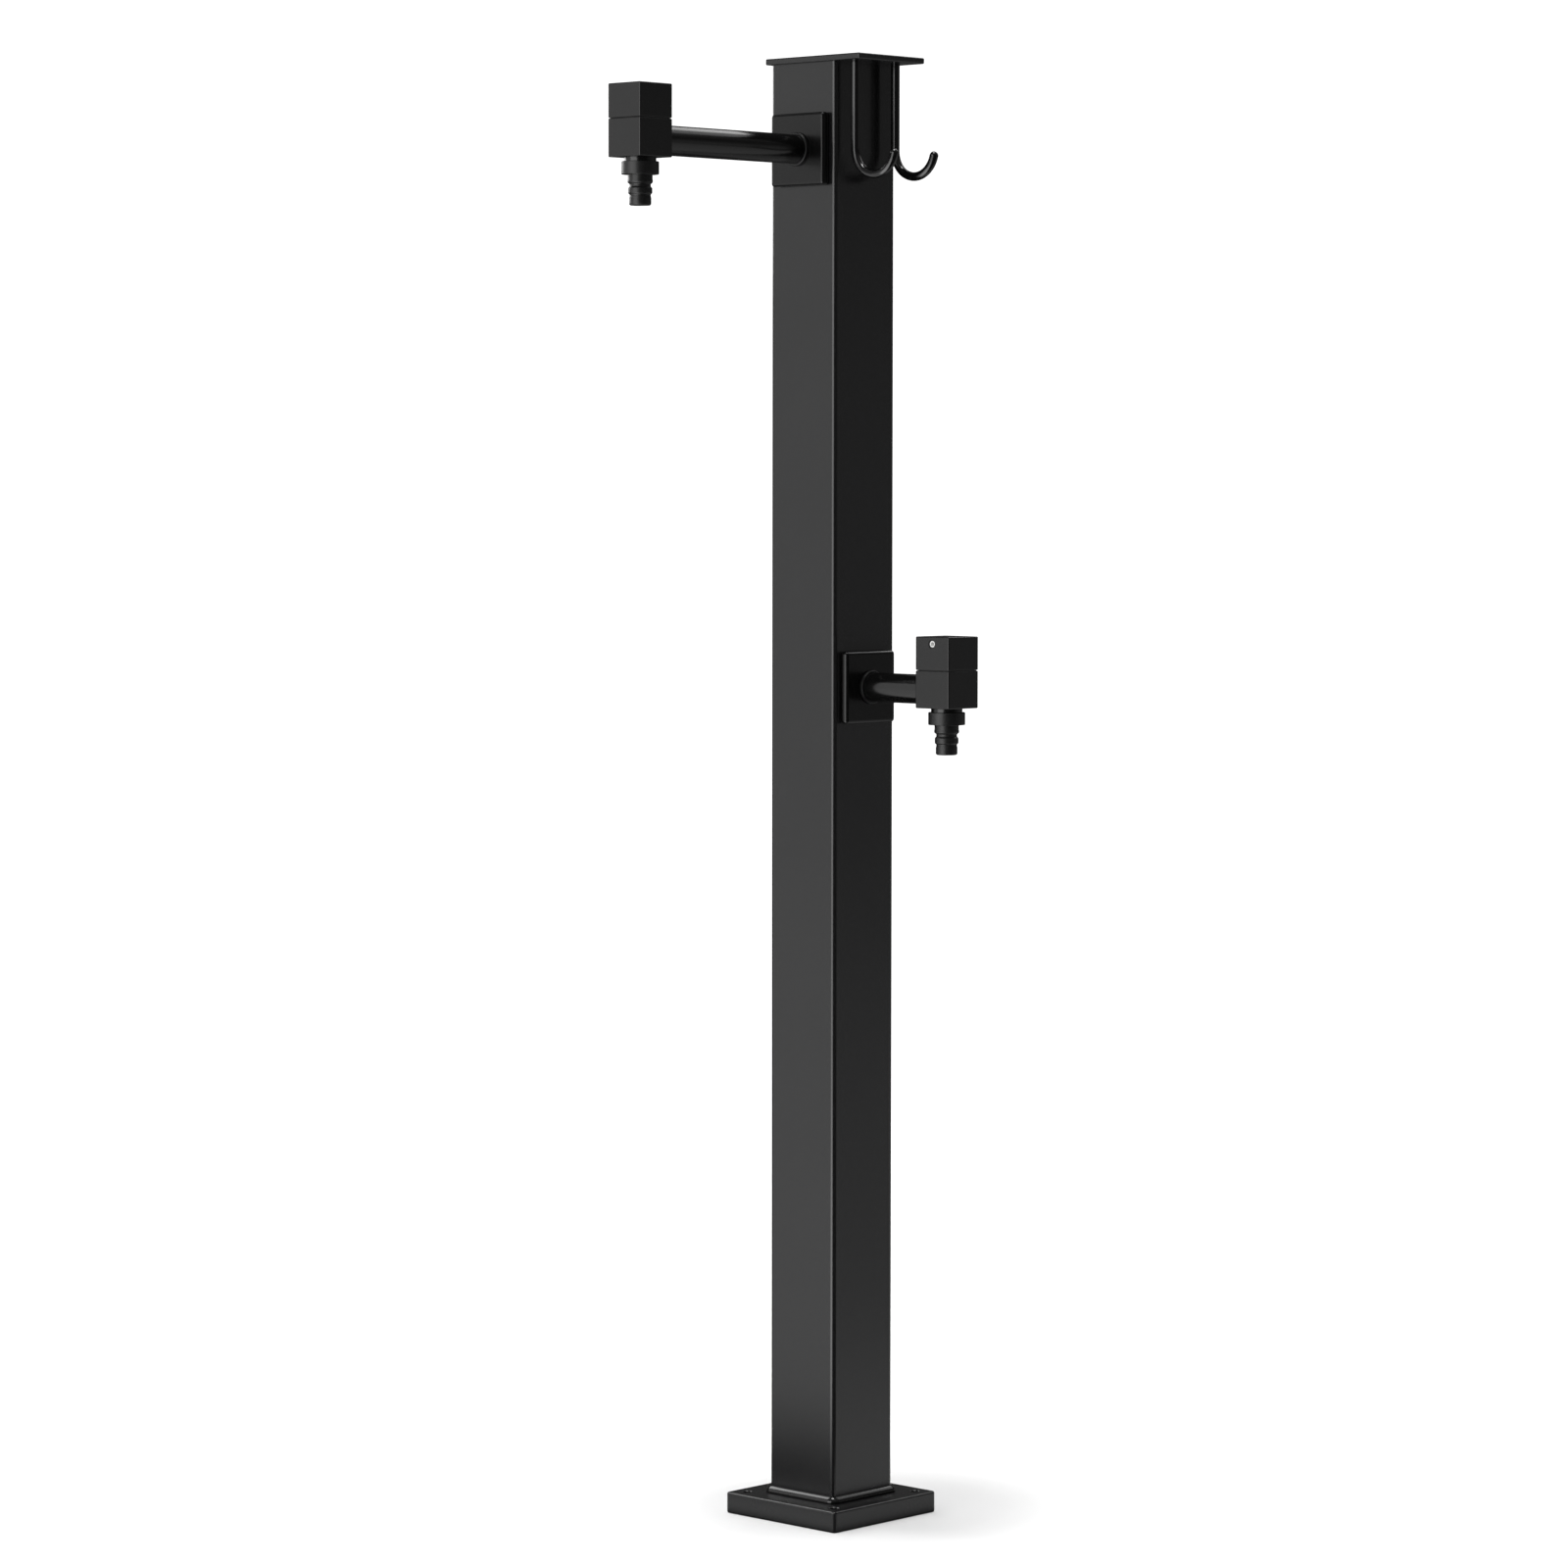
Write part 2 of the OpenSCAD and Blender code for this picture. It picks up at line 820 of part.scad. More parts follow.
base_plate();
foot_bead();
foot_block();
foot_block_screws();
column();
column_foot_screws();
cap_plate();
cap_insert();
cap_insert_screws();
cap_side_screws();
hose_hook(-1);  // left_hose_hook
hose_hook(1);  // right_hose_hook
inlet_coupling();
inlet_nut();
lower_riser();
side_tee();
upper_riser();
front_elbow();
at_front() arm(front_reach);  // front_arm
at_front() arm_washer();  // front_washer
at_front() arm_locknut();  // front_locknut
at_front() cover_gasket();  // front_gasket
at_front() arm_cover();  // front_cover
at_front() arm_ring();  // front_ring
at_front() tap_body(front_reach);  // front_tap_body
at_front() headwork(front_reach);  // front_headwork
at_front() seat_seal(front_reach);  // front_seat_seal
at_front() ported_disc(front_reach, fixed_disc_z, 90);  // front_fixed_disc
at_front() ported_disc(front_reach, moving_disc_z, 0);  // front_moving_disc
at_front() spindle(front_reach);  // front_spindle
at_front() spindle_seal(front_reach);  // front_spindle_seal
at_front() tap_knob(front_reach);  // front_knob
at_front() knob_screw(front_reach);  // front_knob_screw
at_front() outlet_adapter(front_reach);  // front_outlet_adapter
at_front() outlet_washer(front_reach);  // front_outlet_washer
at_side() arm(side_reach);  // side_arm
at_side() arm_washer();  // side_washer
at_side() arm_locknut();  // side_locknut
at_side() cover_gasket();  // side_gasket
at_side() arm_cover();  // side_cover
at_side() arm_ring();  // side_ring
at_side() tap_body(side_reach);  // side_tap_body
at_side() headwork(side_reach);  // side_headwork
at_side() seat_seal(side_reach);  // side_seat_seal
at_side() ported_disc(side_reach, fixed_disc_z, 90);  // side_fixed_disc
at_side() ported_disc(side_reach, moving_disc_z, 0);  // side_moving_disc
at_side() spindle(side_reach);  // side_spindle
at_side() spindle_seal(side_reach);  // side_spindle_seal
at_side() tap_knob(side_reach);  // side_knob
at_side() knob_screw(side_reach);  // side_knob_screw
at_side() outlet_adapter(side_reach);  // side_outlet_adapter
at_side() outlet_washer(side_reach);  // side_outlet_washer
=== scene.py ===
import math

import bpy
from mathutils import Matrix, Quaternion, Vector


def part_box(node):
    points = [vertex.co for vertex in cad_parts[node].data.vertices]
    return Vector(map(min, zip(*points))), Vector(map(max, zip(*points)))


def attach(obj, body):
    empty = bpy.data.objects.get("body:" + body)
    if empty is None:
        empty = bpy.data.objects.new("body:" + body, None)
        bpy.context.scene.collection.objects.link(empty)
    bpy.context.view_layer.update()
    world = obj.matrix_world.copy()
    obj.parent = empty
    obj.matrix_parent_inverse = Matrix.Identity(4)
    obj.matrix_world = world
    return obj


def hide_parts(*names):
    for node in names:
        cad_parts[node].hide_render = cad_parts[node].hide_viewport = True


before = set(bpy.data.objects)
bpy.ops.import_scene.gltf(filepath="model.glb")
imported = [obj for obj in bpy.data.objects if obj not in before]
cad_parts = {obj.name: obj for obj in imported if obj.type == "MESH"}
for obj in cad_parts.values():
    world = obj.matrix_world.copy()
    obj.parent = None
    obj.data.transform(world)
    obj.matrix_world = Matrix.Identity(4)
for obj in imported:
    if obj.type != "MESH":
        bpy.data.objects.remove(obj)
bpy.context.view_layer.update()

# Camera
# The photograph's viewpoint, worked out from the corners of the column, foot, cap and taps.
# It stands 3.5 m away, seven tenths of the way up the column, with a long lens.
eye = Vector((2.3940, -2.5684, 0.7178))
view_azimuth = math.radians(43.526)
view_dip = math.radians(3.030)
view_roll = math.radians(0.066)
focal_length = 117.54
frame_shift = -0.025
sight = 40
towards_eye = Vector((
    math.sin(view_azimuth) * math.cos(view_dip),
    -math.cos(view_azimuth) * math.cos(view_dip),
    math.sin(view_dip),
))
view_turn = (-towards_eye).to_track_quat("-Z", "Y") @ Quaternion((0, 0, 1), view_roll)
bpy.ops.object.camera_add(location=eye, rotation=view_turn.to_euler())
camera = bpy.context.object
camera.data.lens = focal_length
camera.data.shift_y = frame_shift
camera.data.clip_end = sight
bpy.context.scene.camera = camera
bpy.context.scene.view_settings.view_transform = "Standard"


# Studio floor
# A white floor under the column, and a wide white bowl round it that carries the floor up to a
# wall on every side. The floor glows dimmer round a point just behind and right of the foot: a
# painted shadow there, beside the lamps' real shadows. The bowl is for the eye only and throws
# no light on the column.
def grey(level):
    return (level, level, level, 1)


floor_r = 1.3
bowl_r = 7.0
bowl_h = 7.0
bowl_bend_r = 2.0
stage_facets = 128
floor_tone = 0.66
floor_dullness = 0.9
shadow_centre = (-0.006, 0.034, 0)
glow_near, glow_far = 0.29, 1.05
glow_start_r, glow_end_r = 0.08, 0.285
same_place = 1e-6


class Shade:
    """A number, colour or place that varies over a surface. Sums on it add the nodes for them."""

    def __init__(self, tree, socket):
        self.tree = tree
        self.socket = socket

    def node(self, kind, settings, sockets, result=0):
        """Adds any other node: its settings are set first, then its sockets' values or links."""
        made = self.tree.nodes.new(kind)
        for name, value in settings.items():
            setattr(made, name, value)
        for name, value in sockets.items():
            if isinstance(value, Shade):
                self.tree.links.new(value.socket, made.inputs[name])
            else:
                made.inputs[name].default_value = value
        return Shade(self.tree, made.outputs[result])

    def maths(self, operation, *others):
        return self.node("ShaderNodeMath", {"operation": operation}, dict(enumerate((self, *others))))

    def __add__(self, other):
        return self.maths("ADD", other)

    def __sub__(self, other):
        return self.maths("SUBTRACT", other)

    def __rsub__(self, other):
        return self.maths("MULTIPLY", -1.0).maths("ADD", other)

    def __mul__(self, other):
        return self.maths("MULTIPLY", other)

    def __truediv__(self, other):
        return self.maths("DIVIDE", other)

    __radd__ = __add__
    __rmul__ = __mul__

    def between(self, low, high):
        """0 below low, 1 above high and a smooth step between them."""
        settings = {"interpolation_type": "SMOOTHSTEP"}
        return self.node("ShaderNodeMapRange", settings, {"Value": self, "From Min": low, "From Max": high})

    def mix(self, low, high):
        """The colour low where this is 0 and high where it is 1.

        Sockets 6 and 7 and result 2 are the node's colours.
        """
        settings = {"data_type": "RGBA"}
        return self.node("ShaderNodeMix", settings, {"Factor": self, 6: low, 7: high}, result=2)

    def noise(self, scale, detail=2.0, roughness=0.5):
        """Cloudy noise at this place, with a grain of about 1 / scale metres."""
        sockets = {"Vector": self, "Scale": scale, "Detail": detail, "Roughness": roughness}
        return self.node("ShaderNodeTexNoise", {}, sockets)

    def distance(self, point=(0, 0, 0)):
        """How far this place lies from a point."""
        settings, sockets = {"operation": "DISTANCE"}, {0: self, 1: point}
        return self.node("ShaderNodeVectorMath", settings, sockets, result="Value")

    def along(self, direction):
        """How far this place lies along a direction."""
        settings, sockets = {"operation": "DOT_PRODUCT"}, {0: self, 1: direction}
        return self.node("ShaderNodeVectorMath", settings, sockets, result="Value")

    def stretched(self, x, y, z):
        return self.node("ShaderNodeVectorMath", {"operation": "MULTIPLY"}, {0: self, 1: (x, y, z)})

    def to(self, surface, name):
        self.tree.links.new(self.socket, surface.inputs[name])


def new_finish(name, sockets):
    """A new material, its surface shader with these values set, and the piece's own coordinates."""
    finish = bpy.data.materials.new(name)
    finish.use_nodes = True
    surface = finish.node_tree.nodes["Principled BSDF"]
    for socket, value in sockets.items():
        surface.inputs[socket].default_value = value
    coordinates = finish.node_tree.nodes.new("ShaderNodeTexCoord")
    return finish, surface, Shade(finish.node_tree, coordinates.outputs["Object"])


def wear(piece, finish):
    """Gives a piece one finish all over."""
    piece.data.materials.clear()
    piece.data.materials.append(finish)


def only(piece):
    """Selects this piece alone."""
    bpy.ops.object.select_all(action="DESELECT")
    piece.select_set(True)
    bpy.context.view_layer.objects.active = piece


def settle(piece):
    """Puts the piece's place, turn and size into its mesh, so its object stands at the origin."""
    only(piece)
    bpy.ops.object.transform_apply(location=True, rotation=True, scale=True)


def disc(name, radius, place=(0, 0, 0), facets=stage_facets, fill="NGON"):
    """A flat round face, or an open circle where fill is NOTHING."""
    bpy.ops.object.select_all(action="DESELECT")
    bpy.ops.mesh.primitive_circle_add(vertices=facets, radius=radius, location=place, fill_type=fill)
    piece = bpy.context.object
    piece.name = piece.data.name = name
    return piece


def turned(name, profile, facets=96, ring=False):
    """A piece turned about Z: a disc drawn up from step to step of (radius, height).

    A ring starts from an open circle, and its profile comes back to where it began.
    """
    radius, height = profile[0]
    piece = disc(name, radius, (0, 0, height), facets, "NOTHING" if ring else "NGON")
    settle(piece)
    bpy.ops.object.mode_set(mode="EDIT")
    bpy.ops.mesh.select_all(action="SELECT")
    for next_radius, next_height in profile[1:]:
        rise = (0, 0, next_height - height)
        grow = next_radius / radius
        bpy.ops.mesh.extrude_region_move(TRANSFORM_OT_translate={"value": rise})
        bpy.ops.transform.resize(value=(grow, grow, 1), center_override=(0, 0, next_height))
        radius, height = next_radius, next_height
    bpy.ops.mesh.select_all(action="SELECT")
    if ring:
        bpy.ops.mesh.remove_doubles(threshold=same_place)
    bpy.ops.mesh.normals_make_consistent(inside=False)
    bpy.ops.object.mode_set(mode="OBJECT")
    return piece


def bend_points(centre_r, centre_h, r, start, end, count=12):
    """Points of a round corner in a profile, from the angle start to end, in degrees."""
    angles = [math.radians(start + (end - start) * step / count) for step in range(count + 1)]
    return [(centre_r + r * math.cos(a), centre_h + r * math.sin(a)) for a in angles]


white, surface, place = new_finish("studio_white", {
    "Base Color": grey(floor_tone), "Roughness": floor_dullness,
    "Specular IOR Level": 0.0, "Emission Strength": 1.0,
})
# Painted shadow: the glow is dimmer near shadow_centre, just behind and right of the foot.
painted_shadow_fade = place.distance(shadow_centre).between(glow_start_r, glow_end_r)
painted_shadow_fade.mix(grey(glow_near), grey(glow_far)).to(surface, "Emission Color")

floor = disc("studio_floor", floor_r)
bowl_bend = bend_points(bowl_r - bowl_bend_r, bowl_bend_r, bowl_bend_r, -90, 0)
bowl = turned("studio_bowl", [(floor_r, 0)] + bowl_bend + [(bowl_r, bowl_h)], stage_facets, ring=True)
bpy.ops.object.shade_smooth()
for piece in (floor, bowl):
    wear(piece, white)
    piece.visible_glossy = False
bowl.visible_diffuse = False
bowl.visible_shadow = False


# Floor as the paint mirrors it
# The gloss shows a floor that is bright out to the left and duller to the right, dark towards the
# camera, and bright again right beside the foot plate. Painted shade makes it dark right under the
# foot, as a contact shadow, and dims a ring just out from the foot on the left, which darkens the
# bottom of the tube's left face. A strip of it in front carries the line along the near edge down
# to the foot. This sheet is seen only in reflections.
sheen_r = 9.0
sheen_z = -0.0005
dark_floor = 0.04
foot_shade_start, foot_shade_end = 0.052, 0.075
left_beside, left_shade_ring, left_floor = 0.85, 0.10, 1.08
ring_start, ring_end = 0.100, 0.118
left_rise_end = 0.42
left_end, left_gone = 3.2, 4.2
right_beside, right_floor, right_middle, right_far = 0.66, 0.70, 0.42, 0.14
right_fall_start, right_fall_end, right_gone = 0.15, 0.90, 6.0
seam = 0.01
left_edge, left_full = 0.86, 0.95
right_edge, right_full = 0.80, 0.90
beside_start, beside_end = 0.12, 0.30
near_corner_start, near_corner_end = 0.045, 0.058
front_floor = 4.2
front_edge, front_full = 0.895, 0.930
front_rise_start, front_rise_end = 0.15, 0.60
front_end, front_gone = 2.2, 3.3
to_left = (-0.69, -0.725, 0)
to_back_right = (0.454, 0.891, 0)
to_front = (-0.066, -0.998, 0)

sheen, surface, place = new_finish("floor_sheen", {
    "Base Color": grey(0), "Roughness": 1.0, "Specular IOR Level": 0.0, "Emission Strength": 1.0,
})
sideways = place.along((1, 0, 0)).maths("ABSOLUTE")
lengthways = place.along((0, 1, 0)).maths("ABSOLUTE")
reach = sideways.maths("MAXIMUM", lengthways)
away = place.distance()

leftward = place.along(to_left)
# The dip to left_shade_ring is painted shade for the bottom of the tube's left face.
rise = reach.between(ring_end, left_rise_end).mix(grey(left_shade_ring), grey(left_floor))
on_left = reach.between(ring_start, ring_end).mix(grey(left_beside), rise)
on_left = away.between(left_end, left_gone).mix(on_left, grey(dark_floor))
fall = reach.between(right_fall_start, right_fall_end).mix(grey(right_floor), grey(right_middle))
fall = reach.between(right_fall_end, right_gone).mix(fall, grey(right_far))
on_right = reach.between(ring_start, ring_end).mix(grey(right_beside), fall)
lit = leftward.between(-seam, seam).mix(on_right, on_left)

in_left = (leftward / away).between(left_edge, left_full)
in_right = (place.along(to_back_right) / away).between(right_edge, right_full)
beside = 1 - reach.between(beside_start, beside_end)
lit = in_left.maths("MAXIMUM", in_right).maths("MAXIMUM", beside).mix(grey(dark_floor), lit)
near_corner = place.along((1, 0, 0)).maths("MINIMUM", place.along((0, -1, 0)))
lit = near_corner.between(near_corner_start, near_corner_end).mix(lit, grey(dark_floor))
in_front = (place.along(to_front) / away).between(front_edge, front_full)
in_front = in_front * reach.between(front_rise_start, front_rise_end)
in_front = in_front * (1 - away.between(front_end, front_gone))
lit = in_front.mix(lit, grey(front_floor))
# Painted contact shadow: the sheet goes dark right under the foot plate.
reach.between(foot_shade_start, foot_shade_end).mix(grey(dark_floor), lit).to(surface, "Emission Color")

mirror_floor = disc("mirror_floor", sheen_r, (0, 0, sheen_z))
wear(mirror_floor, sheen)
mirror_floor.visible_camera = False
mirror_floor.visible_diffuse = False
mirror_floor.visible_shadow = False


# Studio light
# A broad soft card on the left fills the left faces evenly, and a brighter one in front draws the
# line along the near edges. Lights beside the foot, behind and overhead run along the rim of the
# foot and the arms. The room is dim, and lighter overhead and where the right-hand faces mirror it.
def soft_light(name, place, aim, width, height, radiance):
    """A rectangular soft light at a place, turned towards what it lights."""
    bpy.ops.object.light_add(type="AREA", location=place)
    light = bpy.context.object
    light.name = name
    light.data.shape = "RECTANGLE"
    light.data.size = width
    light.data.size_y = height
    light.data.energy = radiance * math.pi * width * height
    light.rotation_euler = (Vector(aim) - Vector(place)).to_track_quat("-Z", "Y").to_euler()
    light.visible_camera = False


soft_light("left_card", place=(-2.12, -2.12, 1.15), aim=(0, 0, 0.9), width=1.6, height=2.2, radiance=0.93)
soft_light("front_card", place=(-0.20, -3.0, 1.0), aim=(0, 0, 0.7), width=2.65, height=2.4, radiance=3.3)
soft_light("foot_light", place=(-1.05, -0.08, 1.12), aim=(0, 0, 0), width=0.8, height=0.6, radiance=4.5)
soft_light("arm_light", place=(-0.79, 2.86, 3.51), aim=(0, -0.1, 0.94), width=1.7, height=1.2, radiance=2.4)
soft_light("back_light", place=(0.32, 3.64, 3.41), aim=(0, 0, 0), width=2.6, height=1.8, radiance=1.0)
soft_light("top_softbox", place=(0.1, -0.1, 2.8), aim=(0, 0, 0), width=0.80, height=0.80, radiance=16.0)

room_dark, room_overhead, room_right = 0.065, 0.20, 0.23
overhead_start, overhead_full = 0.25, 0.90
right_start, right_centre = 0.70, 0.95
right_low, right_high = -0.20, 0.30
to_right = (0.69, 0.725, 0)
world = bpy.data.worlds.new("studio")
bpy.context.scene.world = world
world.use_nodes = True
background = world.node_tree.nodes["Background"]
around = world.node_tree.nodes.new("ShaderNodeTexCoord")
heading = Shade(world.node_tree, around.outputs["Generated"])
height = heading.along((0, 0, 1))
overhead = height.between(overhead_start, overhead_full)
right_patch = heading.along(to_right).between(right_start, right_centre)
right_patch = right_patch * (1 - height.between(right_low, right_high))
glow = overhead * room_overhead + right_patch * room_right + room_dark
glow.to(background, "Strength")
background.inputs["Color"].default_value = grey(1)


# Foot plate
# A square steel plate, 14.6 mm thick, that carries the column. It has a hole near each corner for
# an anchor, four for the screws of the block inside the tube, and a wide one in the middle for the
# water inlet. Its powder coat is smooth and glossy.
least_rise = 1e-3
sharp_angle = math.radians(30)
smooth_angle = math.radians(35)
small_facets, bore_facets = 48, 64
noise_mean = 0.5
grit_finer, speck_finer = 4.3, 2.1
speck_start, speck_full = 0.74, 0.80
cloud_scale = 16.0
cloud_strength, speck_strength = 0.18, 0.5
cloud_dullness, grit_dullness, speck_dullness = 0.10, 0.08, 0.10


def block(name, low, high):
    """A block between its lowest and highest corners."""
    bpy.ops.object.select_all(action="DESELECT")
    low, high = Vector(low), Vector(high)
    bpy.ops.mesh.primitive_cube_add(size=1, location=(low + high) / 2)
    piece = bpy.context.object
    piece.name = piece.data.name = name
    piece.scale = high - low
    settle(piece)
    return piece


def changed(piece, kind, **settings):
    """Adds a modifier to the piece and applies it."""
    only(piece)
    step = piece.modifiers.new(kind.title(), kind)
    for name, value in settings.items():
        setattr(step, name, value)
    bpy.ops.object.modifier_apply(modifier=step.name)


def round_edges(piece, tests, radius, segments, profile=0.5):
    """Rounds the edges whose two ends, as places, pass one of the tests.

    A profile of 0.5 is round, and 0.25 is a straight bevel.
    """
    only(piece)
    bpy.ops.object.mode_set(mode="EDIT")
    bpy.ops.mesh.select_mode(type="EDGE")
    bpy.ops.mesh.select_all(action="DESELECT")
    bpy.ops.object.mode_set(mode="OBJECT")
    for edge in piece.data.edges:
        ends = [piece.data.vertices[v].co for v in edge.vertices]
        edge.select = any(test(*ends) for test in tests)
    bpy.ops.object.mode_set(mode="EDIT")
    bpy.ops.mesh.bevel(offset=radius, segments=segments, profile=profile)
    bpy.ops.object.mode_set(mode="OBJECT")


def upright(one, other):
    """The test for edges that rise."""
    return abs(one.z - other.z) > least_rise


def eased(piece, radius, segments=4):
    """Rounds every sharp edge."""
    changed(
        piece, "BEVEL", width=radius, segments=segments, limit_method="ANGLE",
        angle_limit=sharp_angle, use_clamp_overlap=True,
    )


def polished(piece):
    """Shades the piece smoothly, with its flat faces kept flat."""
    only(piece)
    bpy.ops.object.shade_smooth_by_angle(angle=smooth_angle)
    changed(piece, "WEIGHTED_NORMAL", weight=80, keep_sharp=True)


def cut(piece, tool, way="DIFFERENCE"):
    """Cuts the tool's shape out of the piece, or joins it on, and clears the tool away."""
    changed(piece, "BOOLEAN", operation=way, object=tool, solver="EXACT")
    bpy.data.objects.remove(tool)


def moved(piece, place, turn=(0, 0, 0)):
    piece.location = place
    piece.rotation_euler = turn
    settle(piece)
    return piece


def pin(name, radius, bottom, top, facets=bore_facets):
    """A round bar along Z, closed at both ends."""
    return turned(name, [(radius, bottom), (radius, top)], facets)


def black_coat(name, tone, roughness, peel_depth, peel_scale=650.0, grit=0.3, shine=0.5):
    """Black paint: the skin's slight orange peel, a finer grit in it, faint clouds and dust specks.

    The shade can pass 1 at a speck, so half of it mixes black with twice the tone.
    """
    finish, surface, place = new_finish(name, {"IOR": 1.5, "Specular IOR Level": shine})
    peel = place.noise(peel_scale, detail=2.0, roughness=0.45)
    fine = place.noise(peel_scale * grit_finer, detail=3.0, roughness=0.6)
    clouds = place.noise(cloud_scale, detail=3.0, roughness=0.55)
    specks = place.noise(peel_scale * speck_finer, detail=1.0).between(speck_start, speck_full)
    shade = clouds * cloud_strength + (1 - cloud_strength / 2) + specks * speck_strength
    (shade * 0.5).mix(grey(0), tuple(2 * channel for channel in tone) + (1,)).to(surface, "Base Color")
    dullness = roughness + (clouds - noise_mean) * cloud_dullness + (fine - noise_mean) * grit_dullness
    (dullness + specks * speck_dullness).to(surface, "Roughness")
    height = peel * (1 - grit) + fine * grit
    sockets = {"Height": height, "Distance": peel_depth, "Strength": 1.0}
    place.node("ShaderNodeBump", {}, sockets).to(surface, "Normal")
    return finish


powder_tone = (0.0060, 0.0060, 0.0063)
foot_coat = black_coat("foot_powder_coat", powder_tone, roughness=0.28, peel_depth=0.000004)
foot_round = 0.0014
foot_corner_r = 0.003
anchor_r = 0.0035
anchor_inset = 0.0106
anchor_chamfer = 0.0006
opening_r = 0.019
block_screw_at = 0.0205
block_screw_r = 0.0031
block_head_r = 0.00515
block_head_top = 0.0066
past = 0.001

low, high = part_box("base_plate")
foot = block("foot_plate", low, high)
round_edges(foot, [upright], foot_corner_r, segments=8)
eased(foot, foot_round)
anchor_at = high.x - anchor_inset
for side_x in (-1, 1):
    for side_y in (-1, 1):
        at = Vector((side_x * anchor_at, side_y * anchor_at, 0))
        anchor_hole = turned("anchor_hole", [
            (anchor_r, low.z - past), (anchor_r, high.z - anchor_chamfer),
            (anchor_r + 2 * anchor_chamfer, high.z + anchor_chamfer),
        ], small_facets)
        cut(foot, moved(anchor_hole, at))
        at = Vector((side_x * block_screw_at, side_y * block_screw_at, 0))
        screw_hole = turned("screw_hole", [
            (block_head_r, low.z - past), (block_head_r, block_head_top),
            (block_screw_r, block_head_top), (block_screw_r, high.z + past),
        ], small_facets)
        cut(foot, moved(screw_hole, at))
cut(foot, pin("inlet_opening", opening_r, low.z - past, high.z + past))
polished(foot)
wear(foot, foot_coat)
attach(foot, "standpipe")
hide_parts("base_plate")


# Bead round the foot
# A glossy black sealing bead run round the tube where it stands on the plate. It is laid by hand,
# so its crown is smooth but not quite even, and it keeps the rain out of the joint.
bead_gloss = black_coat(
    "bead_gloss", (0.004, 0.004, 0.004), roughness=0.17, peel_depth=0.00002, peel_scale=180.0
)
column_low, column_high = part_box("column")
tube_edge_r = 0.003
bead_crown = 0.0032
bead_crown_profile = 0.38
bead_root_r = 0.0006
bead_bite = 0.00005


def level_at(height):
    """The test for edges that lie at a height."""
    return lambda *ends: all(abs(end.z - height) < same_place for end in ends)


low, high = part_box("foot_bead")
bead = block("foot_sealing_bead", low, high)
round_edges(bead, [upright], tube_edge_r + high.x - column_high.x, segments=10)
round_edges(bead, [level_at(high.z)], bead_crown, segments=10, profile=bead_crown_profile)
round_edges(bead, [level_at(low.z)], bead_root_r, segments=5)
tube_hole = block(
    "tube_hole",
    (column_low.x - bead_bite, column_low.y - bead_bite, low.z - past),
    (column_high.x + bead_bite, column_high.y + bead_bite, high.z + past),
)
cut(bead, tube_hole)
polished(bead)
wear(bead, bead_gloss)
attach(bead, "standpipe")
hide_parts("foot_bead")


# Column
# A square steel tube, 60 mm wide with a 2 mm wall and softly rounded long edges, powder coated
# satin black. It has a round hole for each tap's arm and four small ones in the back for screws.
tube_coat = black_coat("tube_powder_coat", powder_tone, roughness=0.20, peel_depth=0.000006)
tube_wall = 0.002
arm_hole_r = 0.01015
screw_hole_r = 0.00265
quarter = math.radians(90)
arm_turn = {"front": (quarter, 0, 0), "side": (0, quarter, 0)}
arm_height = {}
for tap in ("front", "side"):
    low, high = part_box(tap + "_arm")
    arm_height[tap] = (low.z + high.z) / 2


def back_screws(node):
    """The radius of the heads of a pair in the back, their height, and their places along X."""
    low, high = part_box(node)
    head_r = (high.z - low.z) / 2
    return head_r, (low.z + high.z) / 2, (low.x + head_r, high.x - head_r)


low, high = column_low, column_high
tube = block("column_tube", low, high)
round_edges(tube, [upright], tube_edge_r, segments=12)
hollow = block(
    "hollow",
    (low.x + tube_wall, low.y + tube_wall, low.z - past),
    (high.x - tube_wall, high.y - tube_wall, high.z + past),
)
cut(tube, hollow)
for tap in ("side", "front"):
    arm_cutter = pin("arm_cutter", arm_hole_r, high.x - tube_wall - past, high.x + past)
    cut(tube, moved(arm_cutter, (0, 0, arm_height[tap]), arm_turn[tap]))
for node in ("column_foot_screws", "cap_side_screws"):
    head_r, screw_z, screw_places = back_screws(node)
    for screw_x in screw_places:
        start, end = high.y - tube_wall - past, high.y + past
        screw_cutter = pin("screw_cutter", screw_hole_r, start, end, small_facets)
        cut(tube, moved(screw_cutter, (screw_x, 0, screw_z), (-quarter, 0, 0)))
polished(tube)
wear(tube, tube_coat)
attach(tube, "standpipe")
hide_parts("column")


# Screws in the back of the tube
# Black button head screws with a hexagon socket. The lower pair holds the tube to the block on
# the foot plate, and the upper pair holds the cap's insert.
screw_coat = black_coat(
    "screw_black_oxide", (0.006, 0.006, 0.006), roughness=0.36, peel_depth=0.000006, peel_scale=1500.0
)
head_h = 0.0026
shank_r = 0.0025
socket_flats = 0.003
socket_depth = 0.0016
socket_sides = 6
crown_flat_share = 0.75
dome_steps = 7


def corner_r(flats):
    """The radius to a hexagon's corners, from its width across the flats."""
    return flats / math.sqrt(3)


def button_screw(name, head_r, shank_end):
    """A button head screw along +Z with its head's underside at 0."""
    dome_r = (head_r ** 2 + head_h ** 2) / (2 * head_h)
    flat_r = socket_flats * crown_flat_share
    crown = []
    for step in range(dome_steps + 1):
        radius = head_r + (flat_r - head_r) * step / dome_steps
        crown.append((radius, head_h - dome_r + math.sqrt(dome_r ** 2 - radius ** 2)))
    piece = turned(name, [(shank_r, shank_end), (shank_r, 0)] + crown, bore_facets)
    cut(piece, pin("socket", corner_r(socket_flats), head_h - socket_depth, head_h + past, socket_sides))
    return piece


